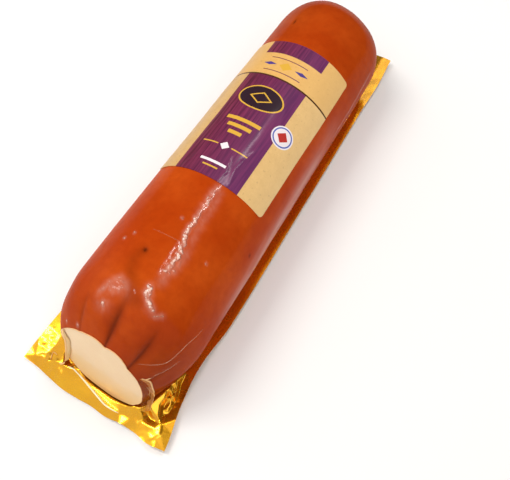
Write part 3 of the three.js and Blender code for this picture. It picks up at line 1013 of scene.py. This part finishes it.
def make_gold_film():
    """The backing film: a fine grid laid out to the film's plan, folded, and given its thickness."""
    put_down()
    wide, deep = 150, 217
    bpy.ops.mesh.primitive_grid_add(x_subdivisions=wide, y_subdivisions=deep, size=1.0)
    film = named("gold_film")
    plan = []
    for vertex in film.data.vertices:
        share, across = vertex.co.y + 0.5, vertex.co.x + 0.5
        across -= 0.45 * math.sin(2 * math.pi * across) / (2 * math.pi)  # closer together at the edges
        along = between(FILM_ROWS, share)
        edge = along / PACK_LENGTH
        x = LOG_SIDE + lerp(through(LEFT_EDGE, edge), through(RIGHT_EDGE, edge), across)
        y = FRONT_EDGE + along + through(FRONT_TRIM, across) * (1 - smooth(along, 0, 30))
        y -= 3.2 * smooth(across, 0.5, 0.9) * smooth(edge, 0.9, 1.0)  # the far right corner is short
        plan.append((x, y))
    heights = [film_height(x, y) for x, y in plan]
    for _ in range(2):
        heights = relaxed(heights, wide + 1)
    spots = iter([Vector((x, y, height + GOLD_THICKNESS)) for (x, y), height in zip(plan, heights)])
    press(film, lambda co: next(spots))
    thicken(film, GOLD_THICKNESS, -1.0)
    film.data.materials.append(gold_foil())
    smooth_off(film, SOFT_ANGLE)
    return film


# The label


def round_corner(across, along, radius):
    """Draws a point of the label's plan in where it lies in the square of a rounded corner."""
    half_width, half_length = LABEL_WIDTH / 2, LABEL_LENGTH / 2
    p = abs(across) - (half_width - radius)
    q = abs(along - half_length) - (half_length - radius)
    if p <= 0 or q <= 0:
        return across, along
    draw = max(p, q) / math.hypot(p, q)
    across = math.copysign(half_width - radius + p * draw, across)
    along = half_length + math.copysign(half_length - radius + q * draw, along - half_length)
    return across, along


# Wrinkles of the film over the label: lines of distance across and along it in millimetres, and their lift
LABEL_WRINKLES = [
    ([(17.0, 2.0), (14.0, 14.0), (16.0, 26.0), (20.0, 38.0)], 0.22),
    ([(9.0, 0.0), (10.0, 10.0), (6.0, 22.0)], 0.3),
    ([(-8.0, 30.0), (-6.0, 48.0), (-9.0, 66.0)], 0.22),
    ([(-2.0, 60.0), (2.0, 78.0), (1.0, 92.0)], 0.25),
    ([(-19.0, 0.0), (-15.0, 12.0)], 0.25),
    ([(22.0, 60.0), (19.0, 74.0)], 0.2),
]


def label_lift(across, along):
    """Height of the wrinkles over the label."""
    lift = 0.08 * grain(across, along, 5.0, 9.0)
    for line, crest in LABEL_WRINKLES:
        far = off_line((across, along), line)[0]
        if far < 6:
            lift += crest * bump(far, 1.1) * (0.5 + abs(grain(across, along, 0.0, 5.0)) * 1.5)
    return lift


def make_label():
    """The label: a flat grid with rounded corners, wrapped over the log's top, with the paper's thickness."""
    put_down()
    bpy.ops.mesh.primitive_grid_add(x_subdivisions=110, y_subdivisions=140, size=1.0)
    label = named("paper_label")

    def place(co):
        across, along = round_corner(co.x * LABEL_WIDTH, (co.y + 0.5) * LABEL_LENGTH, LABEL_CORNER)
        angle = LABEL_TURN + across / LABEL_WIDTH * LABEL_ARC
        y = LABEL_FOOT + along
        return on_log(angle, y, slow_relief(angle, y) + PAPER_LIFT + label_lift(across, along))

    press(label, place)
    thicken(label, PAPER_THICKNESS, -1.0)
    label.data.materials.append(printed_label())
    smooth_off(label, SOFT_ANGLE)
    return label


# The clear film

# Collar of film round the cut's right end: its outer edge as angles and stations
COLLAR = [(62.0, -164.6), (68.5, -162.6), (73.0, -161.6), (85.0, -161.6), (100.0, -161.0), (116.0, -160.0)]


def collar_spot(share, out):
    """A point of the right collar, from the cut's rim at 0 to its outer edge at 1."""
    angle, outer = on_line(COLLAR, share)
    y = lerp(CUT_MIDDLE, outer, out)
    loose = math.sin(math.pi * clamp(out)) * smooth(share, 0.0, 0.15) * (1 - smooth(share, 0.85, 1.0))
    lift = 0.3 + 1.1 * loose * (0.7 + 0.9 * abs(grain(angle / 2, y, 0.0, 3.0)))
    return on_log(angle, y, rind_relief(angle, y)[0] + lift)


# Film that hangs over the cut's left end, in the cut's plane from its middle: its folded and its other edge
COVER_FOLD = [(-29.8, 19.0), (-29.7, 13.8), (-29.5, 9.8), (-29.2, 5.8), (-29.2, 1.2), (-29.9, -6.5),
              (-31.1, -14.7), (-32.0, -20.5), (-33.5, -26.5)]
COVER_EDGE = [(-29.4, 17.5), (-27.5, 13.1), (-25.3, 9.7), (-25.1, 5.5), (-25.3, 1.2), (-26.3, -6.8),
              (-28.2, -15.4), (-29.6, -20.5), (-32.8, -26.0)]


def cover_spot(share, out):
    """A point of the film over the cut's left end, from its folded edge at 0 to its other edge at 1."""
    _, _, middle, level, slant, turn, _ = section(CUT_MIDDLE)
    fold, edge = on_line(COVER_FOLD, share), on_line(COVER_EDGE, share)
    side, up = lerp(fold[0], edge[0], out), lerp(fold[1], edge[1], out)
    loose = math.sin(math.pi * out) * (0.8 + 0.5 * grain(side, up / 3, 0.0, 3.0)) * smooth(share, 0.0, 0.3)
    bulge = 0.7 + 0.9 * loose
    return Vector((middle + side, CUT_MIDDLE + slant * up - turn * side - bulge, level + up))


# Where the collar's loose end meets the gold film, from its rim side to its outer side
TAIL_FOOT = [Vector((32.6, -174.9, 10.6)), Vector((37.6, -171.4, 11.0))]


def tail_spot(share, out):
    """A point of the collar's loose end, which hangs from the collar's foot down to the gold film."""
    foot = TAIL_FOOT[0].lerp(TAIL_FOOT[1], out)
    sway = math.sin(math.pi * share) * (0.8 + 0.8 * grain(6 * share, 6 * out, 0.0, 2.0))
    return collar_spot(0.9, out).lerp(foot, share) + Vector((0.6, -0.9, 0.0)) * sway


def make_strip(name, spot, first_finish_to, finishes):
    """A strip of film that a function lays out, with its first finish up to a share of its width."""
    put_down()
    bpy.ops.mesh.primitive_grid_add(x_subdivisions=44, y_subdivisions=10, size=1.0)
    strip = named(name)
    for finish in finishes:
        strip.data.materials.append(finish)
    pick(strip, "FACE", lambda face: face.center.y + 0.5 > first_finish_to)
    strip.active_material_index = 1
    bpy.ops.object.material_slot_assign()
    press(strip, lambda co: spot(co.x + 0.5, co.y + 0.5))
    thicken(strip, FILM_THICKNESS, 0.0)
    smooth_off(strip, SOFT_ANGLE)
    return strip


# Folds that lie on the log, whose pale finish paints the highlights along them: lines of angles and stations,
# and their thickness
FILM_FOLDS = [
    ([(46.0, -161.4), (54.5, -156.4), (62.5, -149.4), (64.0, -140.0), (64.8, -133.0), (67.5, -126.0),
      (70.0, -118.4)], 0.3),
    ([(68.5, -160.4), (67.5, -157.4), (70.5, -153.0), (72.0, -147.9), (73.5, -142.4)], 0.3),
    ([(66.0, -163.6), (68.5, -160.4)], 0.4),
    ([(77.0, -164.2), (86.0, -163.2), (96.0, -163.4), (104.0, -162.4)], 0.4),
    ([(27.0, -134.9), (34.0, -129.9)], 0.25),
    ([(-11.5, -86.9), (0.5, -86.4), (11.5, -85.9), (18.0, -85.4)], 0.12),
]

# Folds that lie on the gold film, in millimetres, their thickness and their finish; both finishes are pale,
# painting the highlights along them, the white one along the gold film's ridge
LOOSE_FOLDS = [
    ([(-32.0, -172.9, 10.0), (-32.2, -174.0, 9.3), (-33.6, -175.0, 8.8),
      (-35.2, -175.4, 8.4)], 0.7, "folded"),
    ([(-44.9, -170.9, 5.7), (-44.0, -173.4, 6.1), (-42.6, -176.0, 6.7)], 0.27, "folded"),
    ([(-44.9, -170.8, 5.7), (-42.6, -170.9, 6.8), (-40.6, -171.3, 7.5)], 0.27, "folded"),
    ([(-29.0, -174.0, 7.7), (-24.3, -173.7, 7.8), (-16.9, -175.4, 6.7), (-7.5, -178.1, 5.7),
      (0.0, -180.4, 5.9), (7.5, -182.5, 6.3), (13.5, -182.9, 6.7), (19.4, -182.6, 6.6)], 0.7, "painted_ridge_highlight"),
]

# The paler finish of the thicker folds paints their highlight
THICK_FOLD = 0.35  # folds on the log that are thicker than this are paler
FOLD_LIFT = 0.05
FOLD_STEPS = 24
EDGE_STEPS = 60


def make_fold(name, points, thick, finish):
    """A folded edge of film: a thin round bead along a line of points, with fine ends."""
    put_down()
    bpy.ops.curve.primitive_nurbs_path_add()
    fold = named(name)
    curve = fold.data
    curve.splines.clear()
    spline = curve.splines.new("POLY")
    spline.points.add(len(points) - 1)
    for i, (spot, point) in enumerate(zip(spline.points, points)):
        spot.co = (point * MM).to_4d()
        spot.radius = 0.15 + 0.85 * math.sin(math.pi * i / (len(points) - 1)) ** 0.6
    curve.bevel_depth = thick * MM
    curve.bevel_resolution = 2
    curve.use_fill_caps = True
    take(fold)
    bpy.ops.object.convert(target="MESH")
    fold = bpy.context.object
    fold.data.materials.clear()
    fold.data.materials.append(finish)
    smooth_off(fold, SOFT_ANGLE)
    return fold


def surface_spot(angle, y):
    """A point that lies on the rind."""
    return on_log(angle, y, rind_relief(angle, y)[0] + FOLD_LIFT)


def make_clear_film():
    """Everything of the clear film that stands off the cheese, joined into one piece."""
    clear = packing_film("clear_packing_film", "A8541A", "8E3E0C", 0.22, 0.25)
    hazy = packing_film("hazy_packing_film", "E09A58", "CC7E3C", 0.5, 0.3)
    draped = packing_film("draped_packing_film", "EBC68A", "DDB070", 0.82, 0.3)
    # The folded, creased and pressed finishes are pale: painted highlights along folds of film
    folded = packing_film("folded_film_painted_highlight", "F7CC94", "EDB474", 0.92, 0.3)
    fine = packing_film("creased_film_painted_highlight", "EDBE9C", "E0A884", 0.3, 0.5)
    painted_ridge_highlight = packing_film("pressed_film_painted_highlight", "FFFBE6", "FFF1B8", 0.85, 0.6)
    # Strips: layout, where the second finish starts, finishes, which edge is folded, and how thickly
    strips = [
        (collar_spot, 0.6, (clear, hazy), 1.0, 0.55),
        (cover_spot, -1.0, (draped, draped), 0.0, 0.95),
        (tail_spot, 0.4, (clear, hazy), 1.0, 0.2),
    ]
    parts = []
    for i, (spot, first_finish_to, finishes, edge, thick) in enumerate(strips):
        parts.append(make_strip(f"film_strip_{i}", spot, first_finish_to, finishes))
        points = [spot(k / EDGE_STEPS, edge) for k in range(EDGE_STEPS + 1)]
        parts.append(make_fold(f"strip_fold_{i}", points, thick, folded))
    for i, (line, thick, finish) in enumerate(LOOSE_FOLDS):
        points = [Vector(on_line(line, k / FOLD_STEPS)) for k in range(FOLD_STEPS + 1)]
        parts.append(make_fold(f"loose_fold_{i}", points, thick, painted_ridge_highlight if finish == "painted_ridge_highlight" else folded))
    # A pale bead along the cut's upper rim: a painted highlight where the film wraps over it
    rim = [on_log(angle, CUT_MIDDLE - 0.25, rind_relief(angle, CUT_MIDDLE)[0] + FOLD_LIFT)
           for angle in range(-60, 61)]
    parts.append(make_fold("rim_fold", rim, 0.4, folded))
    for i, (line, thick) in enumerate(FILM_FOLDS):
        points = [surface_spot(*on_line(line, k / FOLD_STEPS)) for k in range(FOLD_STEPS + 1)]
        parts.append(make_fold(f"film_fold_{i}", points, thick, folded if thick > THICK_FOLD else fine))
    put_down()
    for part in parts:
        part.select_set(True)
    bpy.context.view_layer.objects.active = parts[0]
    bpy.ops.object.join()
    film = named("clear_film")
    bpy.ops.object.transform_apply(location=True, rotation=True, scale=True)
    return film


cheese = make_cheese()
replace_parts(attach(cheese, "root"), "cheese_log")

film = make_gold_film()
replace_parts(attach(film, "root"), "backing_film")

label = make_label()
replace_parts(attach(label, "root"), "label")

clear = make_clear_film()
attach(clear, "root")


# Floor, light and camera

FLOOR_SIZE = 12.0
FLOOR_DROP = 0.3  # millimetres under the pack
IMAGE_WIDTH = 510
FOCAL_PIXELS = 700
CAMERA_EYE = Vector((151.8, -226.85, 478.85)) * MM
CAMERA_TARGET = Vector((42.5, -41.05, 45.65)) * MM


def make_floor():
    """A large plain sheet under the pack."""
    put_down()
    bpy.ops.mesh.primitive_plane_add(size=FLOOR_SIZE, location=(0, 0, -FLOOR_DROP * MM))
    floor = named("studio_floor")
    floor.data.materials.append(pale_floor())


def aim(thing, place, target):
    """Puts a light or camera in the scene at a place, looking at a target."""
    bpy.context.collection.objects.link(thing)
    thing.location = place
    thing.rotation_euler = (Vector(target) - Vector(place)).to_track_quat("-Z", "Y").to_euler()
    return thing


def add_light(name, place, target, width, depth, watts, tint="FFFFFF"):
    """A rectangular softbox that looks at a target."""
    lamp = bpy.data.lights.new(name, "AREA")
    lamp.shape = "RECTANGLE"
    lamp.size, lamp.size_y = width, depth
    lamp.energy = watts
    lamp.color = srgb(tint)[:3]
    return aim(bpy.data.objects.new(name, lamp), place, target)


def add_camera():
    """The camera at the photograph's viewing angle."""
    lens = bpy.data.cameras.new("camera")
    lens.sensor_fit = "HORIZONTAL"
    lens.sensor_width = 36.0
    lens.lens = 36.0 * FOCAL_PIXELS / IMAGE_WIDTH
    bpy.context.scene.camera = aim(bpy.data.objects.new("camera", lens), CAMERA_EYE, CAMERA_TARGET)


def add_world():
    """A white room: bright in front of the pack and over it, dim behind it, so the gloss stays clear."""
    world = bpy.data.worlds.new("studio")
    world.use_nodes = True
    place = add(world, "ShaderNodeTexCoord").outputs["Generated"]
    towards = add(world, "ShaderNodeVectorMath", {0: place, 1: (-0.2, -0.98, 0.0)}, operation="DOT_PRODUCT")
    fade = add(world, "ShaderNodeMapRange", {"Value": towards.outputs["Value"]},
               interpolation_type="SMOOTHSTEP", From_Min=-0.24, From_Max=0.0)
    room = add(world, "ShaderNodeMix", {
        "Factor": fade.outputs["Result"], "A": (0.14, 0.11, 0.085, 1.0), "B": (0.9, 0.9, 0.9, 1.0),
    }, data_type="RGBA")
    background = world.node_tree.nodes["Background"]
    world.node_tree.links.new(room.outputs["Result"], background.inputs["Color"])
    background.inputs["Strength"].default_value = 1.0
    bpy.context.scene.world = world


make_floor()
add_world()
add_light("key_softbox", (-0.5, -0.165, 1.15), (0.0, -0.14, 0.05), 0.15, 0.55, 6.0, "FFFBF5")
add_light("top_strip", (0.09, 0.42, 0.95), (0.02, -0.05, 0.08), 0.02, 0.34, 2.6)
add_light("fill_card", (0.43, -0.33, 1.0), (0.04, -0.17, 0.0), 0.45, 0.45, 1.2)
back_card = add_light("back_card", (-0.164, 0.96, 1.0), (0.05, 0.15, 0.0), 0.3, 0.36, 0.7)
# The back card lights the gold film alone, so it leaves no band on the dome
lit_film = bpy.data.collections.new("lit_by_back_card")
lit_film.objects.link(film)
back_card.light_linking.receiver_collection = lit_film
add_camera()
bpy.context.scene.view_settings.view_transform = "Standard"

put_down()
